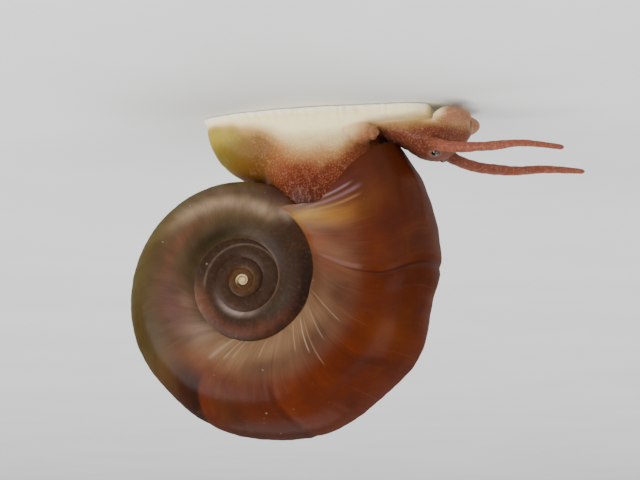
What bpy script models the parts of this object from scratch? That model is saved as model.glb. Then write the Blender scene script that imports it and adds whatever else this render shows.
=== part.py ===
"""A ramshorn snail at life size, crawling on a level floor with its coiled shell carried on edge.

Metres, +Z up, floor at z = 0. The head points along -X, the coiling axis runs along Y and the
sunken spire looks to -Y. The origin lies on the sole, under the shell's axis. Angles on the shell
are read from the spire side, with X to the right and Z up, and grow towards the lip.
"""

import math

import bmesh
import bpy
from mathutils import Vector

# Shell: one cross-section that turns about the axis and grows by the same factor each whorl
WHORLS = 4.6
WHORL_GROWTH = 2.12
EARLY_GROWTH = 1.92
LIP_ANGLE = math.radians(222.0)
LIP_RADIUS = 0.01216
AXIS_HEIGHT = 0.0106
APEX_Y = -0.0038
NUCLEUS_RISE = 0.0003
NUCLEUS_REACH = 0.0022
SHELL_WALL = 0.0005
PARIETAL_CALLUS = 0.0001
APERTURE_DEPTH = math.radians(58.0)
APERTURE_BEYOND = math.radians(30.0)
MANTLE_SHORTER = math.radians(4.0)
OLDER_MARGIN = math.radians(20.0)

# Cross-section of a whorl, in parts of its outer radius
SECTION_MIDDLE = 0.66
SECTION_OUTWARD = 0.34
SECTION_INWARD = 0.355
SECTION_HALF_HEIGHT = 0.37
SECTION_DRIFT = 0.29
OUTER_ROUNDNESS = 2.3
SPIRE_SHOULDER = 3.4
UMBILICAL_SHOULDER = 2.6

# Swellings and pinches where growth paused, as (angle, part of the radius, half width)
REST_MARKS = (
    (173.0, -0.022, 9.0),
    (154.0, 0.022, 11.0),
    (116.0, 0.020, 14.0),
    (51.0, -0.026, 17.0),
)

# The lip runs far ahead at the sutures and a little at the outer edge
LIP_LEAD_REACH = 0.165
LIP_LEAD_POWER = 1.5
LIP_OUTER_LEAD = math.radians(2.0)
LIP_OUTER_START = 0.56
LIP_OUTER_REACH = 0.25

# Mesh of the shell
HALVINGS = 40
STEPS_PER_WHORL = 36
LEAD_STEPS = 2
SIDE_POINTS = 6
EDGE_POINTS = 12
RING_POINTS = 20

# Body
GAP = 0.0003
SMALL_GAP = 0.0002
SOLE_EDGE = 0.0005
SOLE_EDGE_SHARE = 0.7
SOLE_FLAT = 0.92
FOOT_RINGS = 22
FOOT_FLAT_POINTS = 5
FOOT_DOME_POINTS = 13
FOOT_DOME_POWER = 0.9
FOOT_STATIONS = (
    # x, half width, height
    (0.00315, 0.0008, 0.0009),
    (0.00295, 0.0014, 0.0019),
    (0.0022, 0.0020, 0.00295),
    (0.0007, 0.0026, 0.0040),
    (-0.0022, 0.0030, 0.0046),
    (-0.0050, 0.0030, 0.0030),
    (-0.0078, 0.0027, 0.0014),
    (-0.0100, 0.0025, 0.0008),
    (-0.0110, 0.0019, 0.0006),
)
STALK_CENTRE = Vector((-0.0034, 0.0, 0.0008))
STALK_HALF_LENGTH = 0.0047
STALK_HALF_WIDTH = 0.0027
STALK_RINGS = 9
STALK_RUN = 0.0030
STALK_TOP_ANGLE = math.radians(218.0)

# Head and neck, as an elliptic tube along X
HEAD_RINGS = 18
HEAD_STATIONS = (
    # x, height of the middle, half width, half height
    (-0.0050, 0.0011, 0.0022, 0.0006),
    (-0.0075, 0.00115, 0.0021, 0.00062),
    (-0.0090, 0.00145, 0.0020, 0.00085),
    (-0.0102, 0.00185, 0.0021, 0.00120),
    (-0.0114, 0.00185, 0.0021, 0.00125),
    (-0.0124, 0.00150, 0.0018, 0.00100),
    (-0.0131, 0.00115, 0.0011, 0.00060),
    (-0.0133, 0.00100, 0.0005, 0.00028),
)
GILL_LOBE_CENTRE = Vector((-0.0070, -0.0024, 0.00175))
GILL_LOBE_RADII = Vector((0.0013, 0.0006, 0.0007))
LIP_LOBE_CENTRE = Vector((-0.0124, 0.00135, 0.00085))
LIP_LOBE_RADII = Vector((0.00115, 0.00125, 0.00062))
MOUTH_CENTRE = Vector((-0.0132, 0.0, 0.00045))
MOUTH_RADII = Vector((0.0010, 0.00022, 0.00060))

# Tentacles: the middle line of the left one, base to tip, and its thickness at both ends
TENTACLE_LINE = (
    (-0.0111, -0.0018, 0.00235),
    (-0.0126, -0.0029, 0.00300),
    (-0.0148, -0.0037, 0.00330),
    (-0.0172, -0.0040, 0.00330),
    (-0.0196, -0.0037, 0.00365),
)
TENTACLE_BASE_RADIUS = 0.00042
TENTACLE_TIP_RADIUS = 0.00020
TENTACLE_RINGS = 13
TENTACLE_SIDES = 8
TENTACLE_ROOT = 0.0011
TENTACLE_NEAR = 0.02
TENTACLE_SPLIT = 0.5

EYE_CENTRE = Vector((-0.0113, -0.00105, 0.00300))
EYE_RADIUS = 0.00030

# Where the body is parted
TAIL_X = 0.0008
SOLE_TOP_Z = 0.00095
NECK_X = -0.0058
HEAD_X = -0.0090
SNOUT_X = -0.0117

BOX_SIZE = 0.06

COLOURS = {
    # name: (red, green, blue), roughness
    "shell": ((0.20, 0.060, 0.028), 0.28),
    "mantle": ((0.30, 0.070, 0.045), 0.40),
    "stalk": ((0.42, 0.130, 0.075), 0.45),
    "tail": ((0.62, 0.470, 0.250), 0.45),
    "foot": ((0.66, 0.500, 0.330), 0.45),
    "neck": ((0.40, 0.130, 0.080), 0.45),
    "head": ((0.38, 0.120, 0.080), 0.45),
    "snout": ((0.48, 0.220, 0.150), 0.45),
    "tentacle": ((0.42, 0.140, 0.090), 0.45),
    "eye": ((0.010, 0.008, 0.008), 0.12),
}


def clear_scene():
    for obj in list(bpy.data.objects):
        bpy.data.objects.remove(obj, do_unlink=True)


def new_collection(name, hidden=False):
    collection = bpy.data.collections.new(name)
    collection.hide_render = hidden
    bpy.context.scene.collection.children.link(collection)
    return collection


def material(name):
    colour, roughness = COLOURS[name.split("_")[0]]
    made = bpy.data.materials.new(name)
    made.use_nodes = True
    shader = made.node_tree.nodes["Principled BSDF"]
    shader.inputs["Base Color"].default_value = (*colour, 1.0)
    shader.inputs["Roughness"].default_value = roughness
    shader.inputs["Metallic"].default_value = 0.0
    return made


def object_from(bm, name, collection):
    bmesh.ops.triangulate(bm, faces=bm.faces[:])
    bmesh.ops.recalc_face_normals(bm, faces=bm.faces[:])
    mesh = bpy.data.meshes.new(name)
    bm.to_mesh(mesh)
    bm.free()
    made = bpy.data.objects.new(name, mesh)
    collection.objects.link(made)
    return made


def smooth_step(value):
    value = min(max(value, 0.0), 1.0)
    return value * value * (3.0 - 2.0 * value)


def along(stations, part):
    """The stations' values at a part of the way from first to last, on a smooth curve through them."""
    place = part * (len(stations) - 1)
    index = min(int(place), len(stations) - 2)
    t = place - index
    before = stations[max(index - 1, 0)]
    start, end = stations[index], stations[index + 1]
    after = stations[min(index + 2, len(stations) - 1)]
    return [
        0.5 * (2 * b + (c - a) * t + (2 * a - 5 * b + 4 * c - d) * t**2 + (3 * b - a - 3 * c + d) * t**3)
        for a, b, c, d in zip(before, start, end, after)
    ]


def loft(name, rings, collection):
    """A closed body through rings of equally many points, each end closed by a fan."""
    bm = bmesh.new()
    rows = [[bm.verts.new(point) for point in ring] for ring in rings]
    count = len(rows[0])
    for lower, upper in zip(rows, rows[1:]):
        for i in range(count):
            j = (i + 1) % count
            bm.faces.new((lower[i], lower[j], upper[j], upper[i]))
    for row in (rows[0], rows[-1]):
        middle = bm.verts.new(sum((v.co for v in row), Vector()) / count)
        for i in range(count):
            bm.faces.new((row[i], row[(i + 1) % count], middle))
    return object_from(bm, name, collection)


def ellipsoid(name, centre, radii, collection, segments=16, rings=10):
    bm = bmesh.new()
    bmesh.ops.create_uvsphere(bm, u_segments=segments, v_segments=rings, radius=1.0)
    for vertex in bm.verts:
        vertex.co = centre + Vector(a * b for a, b in zip(vertex.co, radii))
    return object_from(bm, name, collection)


def mirrored(vector):
    return Vector((vector[0], -vector[1], vector[2]))


def apply_boolean(target, other, operation, solver):
    modifier = target.modifiers.new("boolean", "BOOLEAN")
    modifier.operation = operation
    modifier.solver = solver
    if isinstance(other, bpy.types.Collection):
        modifier.operand_type = "COLLECTION"
        modifier.collection = other
    else:
        modifier.object = other
    graph = bpy.context.evaluated_depsgraph_get()
    mesh = bpy.data.meshes.new_from_object(target.evaluated_get(graph))
    target.modifiers.clear()
    target.data = mesh


def cut(target, cutter, operation="DIFFERENCE"):
    apply_boolean(target, cutter, operation, "MANIFOLD")
    bpy.data.objects.remove(cutter, do_unlink=True)


def union(name, pieces, collection):
    """Joins closed bodies in one Boolean, and keeps the largest closed surface."""
    first, *others = pieces
    group = bpy.data.collections.new(name + "_pieces")
    bpy.context.scene.collection.children.link(group)
    for piece in others:
        for user in piece.users_collection:
            user.objects.unlink(piece)
        group.objects.link(piece)
    apply_boolean(first, group, "UNION", "MANIFOLD")
    for piece in list(group.objects):
        bpy.data.objects.remove(piece, do_unlink=True)
    bpy.data.collections.remove(group)
    first.name = name
    keep_largest(first)
    for user in first.users_collection:
        user.objects.unlink(first)
    collection.objects.link(first)
    return first


def island(start):
    found = {start}
    edge = [start]
    while edge:
        vertex = edge.pop()
        for link in vertex.link_edges:
            other = link.other_vert(vertex)
            if other not in found:
                found.add(other)
                edge.append(other)
    return found


def keep_largest(obj):
    bm = bmesh.new()
    bm.from_mesh(obj.data)
    left = set(bm.verts)
    islands = []
    while left:
        found = island(next(iter(left)))
        islands.append(found)
        left -= found
    islands.sort(key=spread, reverse=True)
    for scrap in islands[1:]:
        bmesh.ops.delete(bm, geom=list(scrap), context="VERTS")
    bm.to_mesh(obj.data)
    bm.free()


def spread(vertices):
    low = [min(v.co[axis] for v in vertices) for axis in range(3)]
    high = [max(v.co[axis] for v in vertices) for axis in range(3)]
    return sum(b - a for a, b in zip(low, high))


def copy_of(obj, name, collection):
    made = bpy.data.objects.new(name, obj.data.copy())
    collection.objects.link(made)
    return made


def half_space(point, normal, collection):
    """A big block whose one face passes through the point and whose body lies along the normal."""
    bm = bmesh.new()
    bmesh.ops.create_cube(bm, size=BOX_SIZE)
    turn = Vector((0.0, 0.0, 1.0)).rotation_difference(normal)
    for vertex in bm.verts:
        vertex.co = turn @ (vertex.co + Vector((0.0, 0.0, BOX_SIZE / 2))) + point
    return object_from(bm, "half_space", collection)


# Shell


def shoulder_of(outward, along_axis):
    if outward >= 0.0:
        return OUTER_ROUNDNESS
    return SPIRE_SHOULDER if along_axis < 0.0 else UMBILICAL_SHOULDER


def section(turn, inset=0.0):
    """(distance from the axis, place along it) on the whorl's outline, in radii, pulled in by inset.

    Turn 0 is the outer edge, a quarter turn back the spire side, a quarter on the umbilical side.
    """
    outward, side = math.cos(turn), math.sin(turn)
    power = 2.0 / shoulder_of(outward, side)
    reach = (SECTION_OUTWARD if outward >= 0.0 else SECTION_INWARD) - inset
    x = math.copysign(abs(outward) ** power, outward) * reach
    y = math.copysign(abs(side) ** power, side) * (SECTION_HALF_HEIGHT - inset)
    return SECTION_MIDDLE + x, SECTION_DRIFT + y


def section_turn(distance, place):
    """The turn of the outline on which a point of the whorl's plane lies, and how far out it is."""
    x, y = distance - SECTION_MIDDLE, place - SECTION_DRIFT
    x /= SECTION_OUTWARD if x >= 0.0 else SECTION_INWARD
    y /= SECTION_HALF_HEIGHT
    power = shoulder_of(x, y)
    out, side = abs(x) ** (power / 2.0), abs(y) ** (power / 2.0)
    turn = math.atan2(math.copysign(side, y), math.copysign(out, x))
    return turn, math.hypot(out, side)


def suture_turns(side):
    """Where the outline meets the whorl inside it, as turns on the outer and on the inner whorl."""
    outer, inner = side * math.pi / 2, side * math.pi
    for _ in range(HALVINGS):
        middle = (outer + inner) / 2
        distance, place = section(middle)
        if section_turn(distance * WHORL_GROWTH, place * WHORL_GROWTH)[1] > 1.0:
            outer = middle
        else:
            inner = middle
    distance, place = section(outer)
    return outer, section_turn(distance * WHORL_GROWTH, place * WHORL_GROWTH)[0]


def swelling(angle):
    total = 0.0
    for centre, amount, width in REST_MARKS:
        away = (angle - math.radians(centre)) / math.radians(width)
        total += amount * math.exp(-away * away)
    return total


def radius_at(angle):
    turns = (angle - LIP_ANGLE) / (2 * math.pi)
    late, early = max(turns, -1.0), min(turns + 1.0, 0.0)
    return LIP_RADIUS * WHORL_GROWTH**late * EARLY_GROWTH**early * (1.0 + swelling(angle))


def shell_point(angle, turn, inset=0.0):
    radius = radius_at(angle)
    distance, place = section(turn, inset / radius)
    rise = NUCLEUS_RISE * (1.0 - math.exp(-((radius / NUCLEUS_REACH) ** 2)))
    return Vector(
        (
            radius * distance * math.cos(angle),
            APEX_Y + rise + radius * place,
            AXIS_HEIGHT + radius * distance * math.sin(angle),
        )
    )


def lip_lead(turn, suture, full_lead):
    """How far ahead of its row a point lies: the lip's own outline, which each growth line repeats."""
    distance = section(turn)[0]
    reach = 1.0 - (distance - section(suture)[0]) / LIP_LEAD_REACH
    outer = smooth_step((distance - LIP_OUTER_START) / LIP_OUTER_REACH)
    return full_lead * max(reach, 0.0) ** LIP_LEAD_POWER + LIP_OUTER_LEAD * outer


def spaced(first, last, count):
    return [first + (last - first) * i / count for i in range(count)]


def shell_solid(name, collection, grown=0.0):
    """The whole shell with a closed mouth: only the faces that the next whorl leaves free."""
    step = 2 * math.pi / STEPS_PER_WHORL
    spire, spire_seat = suture_turns(-1)
    umbilical, umbilical_seat = suture_turns(1)
    turns = (
        spaced(spire, spire_seat, SIDE_POINTS)
        + spaced(spire_seat, umbilical_seat, EDGE_POINTS)
        + spaced(umbilical_seat, umbilical, SIDE_POINTS)
        + [umbilical]
    )
    last = len(turns) - 1
    seat, far_seat = SIDE_POINTS, SIDE_POINTS + EDGE_POINTS
    leads = [
        lip_lead(turn, spire if turn < 0.0 else umbilical, LEAD_STEPS * step) for turn in turns
    ]
    rows = round(WHORLS * STEPS_PER_WHORL)
    back = STEPS_PER_WHORL - LEAD_STEPS
    bm = bmesh.new()
    first_radius = radius_at(LIP_ANGLE - rows * step)
    centres = {
        0: bm.verts.new((0.0, APEX_Y + first_radius * section(-math.pi / 2)[1], AXIS_HEIGHT)),
        last: bm.verts.new((0.0, APEX_Y + first_radius * section(math.pi / 2)[1], AXIS_HEIGHT)),
    }
    made = {}

    def vertex(row, index):
        if index in centres:
            if row < back:
                return centres[index]
            return vertex(row - back, seat if index == 0 else far_seat)
        if (row, index) not in made:
            angle = LIP_ANGLE - (rows - row) * step + leads[index]
            made[row, index] = bm.verts.new(shell_point(angle, turns[index]))
        return made[row, index]

    def face(corners):
        distinct = list(dict.fromkeys(corners))
        if len(distinct) > 2:
            bm.faces.new(distinct)

    for row in range(rows):
        covered = row < rows - back
        for i in range(last):
            if covered and seat <= i < far_seat:
                continue
            face((vertex(row, i), vertex(row, i + 1), vertex(row + 1, i + 1), vertex(row + 1, i)))
    for i in range(1, seat):
        face((centres[0], vertex(0, i), vertex(0, i + 1)))
    for i in range(far_seat, last - 1):
        face((centres[last], vertex(0, i), vertex(0, i + 1)))
    for i in range(last):
        near = seat + round(i * EDGE_POINTS / last)
        far = seat + round((i + 1) * EDGE_POINTS / last)
        face((vertex(rows, i), vertex(rows, i + 1), vertex(rows - back, near)))
        face((vertex(rows, i + 1), vertex(rows - back, far), vertex(rows - back, near)))
    if grown:
        bmesh.ops.recalc_face_normals(bm, faces=bm.faces[:])
        bm.normal_update()
        places = [(v, v.co + v.normal * grown) for v in bm.verts]
        for moved, place in places:
            moved.co = place
    return object_from(bm, name, collection)


def whorl_ring(angle, inset):
    return [shell_point(angle, 2 * math.pi * i / RING_POINTS, inset) for i in range(RING_POINTS)]


def whorl_tube(name, first, last, inset, collection):
    """The full cross-section carried round the axis from one angle to another."""
    steps = max(round((last - first) * STEPS_PER_WHORL / (2 * math.pi)), 1)
    rings = [whorl_ring(first + (last - first) * k / steps, inset) for k in range(steps + 1)]
    return loft(name, rings, collection)


def lumen(name, wall, callus, depth, beyond, collection):
    """The room inside the last whorl, clear of the wall and of the whorl before it."""
    tube = whorl_tube(name, LIP_ANGLE - depth, LIP_ANGLE + beyond, wall, collection)
    whorl_back = LIP_ANGLE - 2 * math.pi
    first, last = whorl_back - depth - OLDER_MARGIN, whorl_back + beyond + OLDER_MARGIN
    older = whorl_tube("older", first, last, -callus, collection)
    cut(tube, older)
    keep_largest(tube)
    return tube


def make_shell(collection, helpers):
    shell = shell_solid("shell", collection)
    room = lumen("room", SHELL_WALL, PARIETAL_CALLUS, APERTURE_DEPTH, APERTURE_BEYOND, helpers)
    cut(shell, room)
    keep_largest(shell)
    return shell


# Body


def foot_ring(part):
    x, half_width, height = along(FOOT_STATIONS, part)
    edge = min(SOLE_EDGE, height * SOLE_EDGE_SHARE)
    ring = []
    for i in range(FOOT_FLAT_POINTS):
        across = 1.0 - 2.0 * i / (FOOT_FLAT_POINTS - 1)
        ring.append(Vector((x, half_width * SOLE_FLAT * across, 0.0)))
    for i in range(FOOT_DOME_POINTS):
        turn = math.pi * i / (FOOT_DOME_POINTS - 1)
        rise = (height - edge) * abs(math.sin(turn)) ** FOOT_DOME_POWER
        ring.append(Vector((x, -half_width * math.cos(turn), edge + rise)))
    return ring


def make_foot(helpers):
    rings = [foot_ring(k / (FOOT_RINGS - 1)) for k in range(FOOT_RINGS)]
    return loft("foot_whole", rings, helpers)


def make_stalk(helpers):
    """Leaves the aperture along the whorl's own direction and settles down on the foot."""
    top = whorl_ring(STALK_TOP_ANGLE, SHELL_WALL + GAP)
    onward = Vector((-math.sin(LIP_ANGLE), 0.0, math.cos(LIP_ANGLE)))
    rings = []
    for k in range(STALK_RINGS):
        t = k / (STALK_RINGS - 1)
        ring = []
        for i, start in enumerate(top):
            turn = 2 * math.pi * i / RING_POINTS
            end = STALK_CENTRE + Vector(
                (-STALK_HALF_LENGTH * math.cos(turn), STALK_HALF_WIDTH * math.sin(turn), 0.0)
            )
            bend = start + onward * STALK_RUN
            ring.append((1 - t) ** 2 * start + 2 * t * (1 - t) * bend + t**2 * end)
        rings.append(ring)
    return loft("stalk_whole", rings, helpers)


def head_ring(part):
    x, middle, half_width, half_height = along(HEAD_STATIONS, part)
    ring = []
    for i in range(RING_POINTS):
        turn = 2 * math.pi * i / RING_POINTS
        ring.append(Vector((x, half_width * math.cos(turn), middle + half_height * math.sin(turn))))
    return ring


def make_head(helpers):
    """Neck and head, the two broad lobes beside the mouth and the gill lobe on the left flank."""
    rings = [head_ring(k / (HEAD_RINGS - 1)) for k in range(HEAD_RINGS)]
    pieces = [loft("head_whole", rings, helpers)]
    pieces.append(ellipsoid("gill_lobe", GILL_LOBE_CENTRE, GILL_LOBE_RADII, helpers, 12, 8))
    for place in (LIP_LOBE_CENTRE, mirrored(LIP_LOBE_CENTRE)):
        pieces.append(ellipsoid("lobe", place, LIP_LOBE_RADII, helpers))
    return pieces


def tentacle_rings(first, last, side):
    count = max(round(TENTACLE_RINGS * (last - first)), 3)
    rings = []
    for k in range(count + 1):
        part = first + (last - first) * k / count
        centre = Vector(along(TENTACLE_LINE, part))
        ahead = Vector(along(TENTACLE_LINE, min(part + TENTACLE_NEAR, 1.0)))
        behind = Vector(along(TENTACLE_LINE, max(part - TENTACLE_NEAR, 0.0)))
        direction = (ahead - behind).normalized()
        across = direction.cross(Vector((0.0, 0.0, 1.0))).normalized()
        upward = across.cross(direction)
        radius = TENTACLE_BASE_RADIUS + (TENTACLE_TIP_RADIUS - TENTACLE_BASE_RADIUS) * part
        ring = []
        for i in range(TENTACLE_SIDES):
            turn = 2 * math.pi * i / TENTACLE_SIDES
            point = centre + (across * math.cos(turn) + upward * math.sin(turn)) * radius
            ring.append(Vector((point.x, point.y * side, point.z)))
        rings.append(ring)
    return rings


def make_tentacles(collection):
    points = [Vector(along(TENTACLE_LINE, k / TENTACLE_RINGS)) for k in range(TENTACLE_RINGS + 1)]
    length = sum((b - a).length for a, b in zip(points, points[1:]))
    root = TENTACLE_ROOT / length
    half_gap = SMALL_GAP / 2 / length
    for side, word in ((1.0, "left"), (-1.0, "right")):
        loft(f"tentacle_{word}_base", tentacle_rings(root, TENTACLE_SPLIT - half_gap, side), collection)
        loft(f"tentacle_{word}_tip", tentacle_rings(TENTACLE_SPLIT + half_gap, 1.0, side), collection)


def make_eyes(collection, helpers, head):
    for word, place in (("left", EYE_CENTRE), ("right", mirrored(EYE_CENTRE))):
        ellipsoid(f"eye_{word}", place, [EYE_RADIUS] * 3, collection, 10, 8)
        socket = ellipsoid("socket", place, [EYE_RADIUS + SMALL_GAP] * 3, helpers, 10, 8)
        cut(head, socket)


def make_body(collection, helpers):
    body = union("body", [make_foot(helpers), make_stalk(helpers)] + make_head(helpers), helpers)
    cut(body, shell_solid("keep_out", helpers, GAP))
    keep_largest(body)
    cut(body, ellipsoid("mouth", MOUTH_CENTRE, MOUTH_RADII, helpers, 10, 8))
    return body


def make_mantle(collection, helpers):
    """The body's part inside the last whorl, up to the plane of the lip."""
    mantle = lumen(
        "mantle", SHELL_WALL + GAP, PARIETAL_CALLUS + GAP, APERTURE_DEPTH - MANTLE_SHORTER,
        APERTURE_BEYOND, collection,
    )
    cut(mantle, shell_solid("mouth_closed", helpers), "INTERSECT")
    keep_largest(mantle)


def part_body(body, collection, helpers):
    """Thin cuts between the parts of the body: each keeps what lies on its side of its planes."""
    half = GAP / 2
    up, forward = Vector((0.0, 0.0, 1.0)), Vector((-1.0, 0.0, 0.0))
    tail, sole = Vector((TAIL_X, 0.0, 0.0)), Vector((0.0, 0.0, SOLE_TOP_Z))
    neck, head = Vector((NECK_X, 0.0, 0.0)), Vector((HEAD_X, 0.0, 0.0))
    snout = Vector((SNOUT_X, 0.0, 0.0))
    regions = {
        # name: planes as (point, direction of what is cut away)
        "tail": ((tail, forward),),
        "foot": ((tail, -forward), (sole, up), (snout, forward)),
        "stalk": ((tail, -forward), (sole, -up), (neck, forward)),
        "neck": ((sole, -up), (neck, -forward), (head, forward)),
        "head": ((sole, -up), (head, -forward), (snout, forward)),
        "snout": ((snout, -forward),),
    }
    made = {}
    for name, planes in regions.items():
        piece = copy_of(body, name, collection)
        for point, away in planes:
            cut(piece, half_space(point - away * half, away, helpers))
        keep_largest(piece)
        made[name] = piece
    bpy.data.objects.remove(body, do_unlink=True)
    return made


def finish(collection):
    for obj in collection.objects:
        obj.data.materials.clear()
        obj.data.materials.append(material(obj.name))
        obj.data.shade_smooth()
        obj.data.set_sharp_from_angle(angle=math.radians(40.0))


def main():
    clear_scene()
    snail = new_collection("ramshorn_snail")
    helpers = new_collection("cutters", hidden=True)
    make_shell(snail, helpers)
    make_mantle(snail, helpers)
    body = make_body(snail, helpers)
    parts = part_body(body, snail, helpers)
    make_tentacles(snail)
    make_eyes(snail, helpers, parts["head"])
    finish(snail)


main()
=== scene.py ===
"""Dresses the ramshorn snail: a shell with its growth lines, one moist skin over the body, and the eyes.

Metres, in the part's own frame: +Z up, floor at z = 0, head towards -X, sunken spire towards -Y.
Angles on the shell are read from the spire side, with X to the right and Z up, and grow to the lip.
A pair named _X, _Y, _Z, _ACROSS, _GROWTH or _FADE is a ramp: where it begins and where it is whole.
"""

import itertools
import math

import bmesh
import bpy
import numpy as np
from mathutils import Matrix, Vector


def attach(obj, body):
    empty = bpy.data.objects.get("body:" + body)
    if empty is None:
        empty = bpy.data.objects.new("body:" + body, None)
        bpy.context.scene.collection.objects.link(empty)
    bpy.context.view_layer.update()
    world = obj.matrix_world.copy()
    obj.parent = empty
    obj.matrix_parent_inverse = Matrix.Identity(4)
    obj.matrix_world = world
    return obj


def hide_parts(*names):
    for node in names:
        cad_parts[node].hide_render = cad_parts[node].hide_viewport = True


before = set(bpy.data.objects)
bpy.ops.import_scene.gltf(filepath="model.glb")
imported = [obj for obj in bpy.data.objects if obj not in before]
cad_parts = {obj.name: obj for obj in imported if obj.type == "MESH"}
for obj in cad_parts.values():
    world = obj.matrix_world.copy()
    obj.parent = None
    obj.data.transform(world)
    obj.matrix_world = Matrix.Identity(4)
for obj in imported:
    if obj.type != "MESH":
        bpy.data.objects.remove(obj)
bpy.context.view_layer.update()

SEED = 7
FOLD_SEED = SEED + 2
MARGIN_SEED = SEED + 3
GRAIN_SEED = SEED + 4
FLARE_SEED = SEED + 5

# Shell: the form of the solids, wound further in at the nucleus
WHORLS = 6.4
WHORL_GROWTH = 2.12
EARLY_GROWTH = 1.92
LIP_DEGREES = 222.0
LIP_RADIUS = 0.01216
AXIS_HEIGHT = 0.0106
APEX_Y = -0.0038
NUCLEUS_RISE = 0.0003
NUCLEUS_REACH = 0.0022
SECTION_MIDDLE = 0.66
SECTION_OUTWARD = 0.34
SECTION_INWARD = 0.355
SECTION_HALF_HEIGHT = 0.37
SECTION_DRIFT = 0.29
OUTER_ROUNDNESS = 2.3
SPIRE_SHOULDER = 3.4
UMBILICAL_SHOULDER = 2.6
REST_MARKS = (
    # angle, part of the radius, half width
    (173.0, -0.022, 9.0),
    (154.0, 0.022, 11.0),
    (116.0, 0.020, 14.0),
    (51.0, -0.026, 17.0),
)
LIP_LEAD_REACH = 0.165
LIP_LEAD_POWER = 1.5
LIP_OUTER_LEAD = 2.0
LIP_OUTER_FADE = (0.56, 0.81)

# Finer mesh of the shell
STEPS_PER_WHORL = 360
LEAD_STEPS = 20
SIDE_POINTS = 30
EDGE_POINTS = 60
TURN_SAMPLES = 4000
INSIDE_ROWS = 64
LIP_WALL = 0.00010
INNER_WALL = 0.00040
WALL_ROWS = 30.0
SHARP_DEGREES = 48.0
SUTURE_HALVINGS = 40

# Growth lines: how far ahead of the whorl's middle they run at the suture and at the outer edge
MARK_LEAD = 19.0
MARK_REACH = 0.80
MARK_POWER = 3.2
MARK_OUTER_LEAD = 5.0
MARK_OUTER_ACROSS = (0.62, 1.02)

# Relief: fine waves across growth, whole on the late whorls, and single grooves
WAVE_COUNT = 26
WAVE_SLOWEST = 14.0
WAVE_FASTEST = 110.0
WAVE_HEIGHT = 0.0013
WAVE_GROWTH = (-260.0, 40.0)
GROOVES = (
    # growth angle, part of the radius, half width
    (180.0, -0.0060, 1.3),
    (176.5, 0.0035, 2.2),
    (184.0, 0.0045, 3.0),
    (66.0, -0.0055, 2.4),
    (106.0, -0.0030, 1.2),
    (143.0, -0.0028, 1.4),
    (208.0, 0.0040, 3.5),
)

# Body: the form of the solids, with more rings, smaller eyes and a smaller gill lobe
SOLE_EDGE = 0.0005
SOLE_EDGE_SHARE = 0.7
SOLE_FLAT = 0.92
FOOT_RINGS = 60
FOOT_FLAT_POINTS = 9
FOOT_DOME_POINTS = 33
FOOT_DOME_POWER = 0.9
FOOT_STATIONS = (
    # x, half width, height
    (0.00315, 0.0008, 0.0009),
    (0.00295, 0.0014, 0.0019),
    (0.0022, 0.0020, 0.00295),
    (0.0007, 0.0026, 0.0040),
    (-0.0022, 0.0030, 0.0046),
    (-0.0050, 0.0030, 0.0030),
    (-0.0078, 0.0027, 0.0014),
    (-0.0100, 0.0025, 0.0008),
    (-0.0110, 0.0019, 0.0006),
)
STALK_CENTRE = Vector((-0.0034, 0.0, 0.0008))
STALK_HALF_LENGTH = 0.0047
STALK_HALF_WIDTH = 0.0027
STALK_RINGS = 30
STALK_RUN = 0.0030
STALK_TOP_DEGREES = 218.0
STALK_INSET = 0.0006
MANTLE_DEPTH = 50.0
MANTLE_RINGS = 16
HEAD_RINGS = 50
HEAD_STATIONS = (
    # x, height of the middle, half width, half height
    (-0.0050, 0.0011, 0.0022, 0.0006),
    (-0.0075, 0.00115, 0.0021, 0.00062),
    (-0.0090, 0.00145, 0.0020, 0.00085),
    (-0.0102, 0.00185, 0.0021, 0.00120),
    (-0.0114, 0.00185, 0.0021, 0.00125),
    (-0.0124, 0.00150, 0.0018, 0.00100),
    (-0.0131, 0.00115, 0.0011, 0.00060),
    (-0.0133, 0.00100, 0.0005, 0.00028),
)
RING_POINTS = 40
GILL_LOBE_CENTRE = Vector((-0.0070, -0.0024, 0.00175))
GILL_LOBE_RADII = Vector((0.0012, 0.0005, 0.0006))
GILL_LOBE_FADE = (1.35, 1.05)
LIP_LOBE_CENTRE = Vector((-0.0124, 0.00135, 0.00085))
LIP_LOBE_RADII = Vector((0.00115, 0.00125, 0.00062))
LOBE_COLUMNS = 32
LOBE_ROWS = 20
MOUTH_CENTRE = Vector((-0.0132, 0.0, 0.00045))
MOUTH_RADII = Vector((0.0010, 0.00022, 0.00060))
MOUTH_FADE = (1.7, 1.0)
TENTACLE_LINE = (
    (-0.0111, -0.0018, 0.00235),
    (-0.0126, -0.0029, 0.00300),
    (-0.0148, -0.0037, 0.00330),
    (-0.0172, -0.0040, 0.00330),
    (-0.0196, -0.0037, 0.00365),
)
TENTACLE_BASE_RADIUS = 0.00042
TENTACLE_TIP_RADIUS = 0.00016
TENTACLE_RINGS = 60
TENTACLE_SIDES = 16
TENTACLE_STEP = 0.02
TENTACLE_FOLDS = 46.0
TENTACLE_FOLD_DEPTH = 0.04
TENTACLE_ROUND_START = 0.97
TENTACLE_ROUND_RUN = 0.035
TENTACLE_ROUND_LEAST = 0.05
EYE_CENTRE = Vector((-0.0113, -0.00105, 0.00300))
EYE_RADIUS = 0.00026
EYE_SINK = 0.00014
EYE_RIM = 0.00036
EYE_RIM_WIDTH = 0.00012
EYE_RIM_HEIGHT = 0.00006

# Skin mesh: the voxel in millimetres, then how often it is smoothed, and where more often
MILLIMETRES = 1000.0
SKIN_VOXEL = 0.04
SKIN_SMOOTHINGS = 25
TRUNK_SMOOTHINGS = 130
TRUNK_X = (-0.0062, -0.0052)
TRUNK_Z = (0.0005, 0.0015)
RELAX_STEP = 0.5

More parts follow.
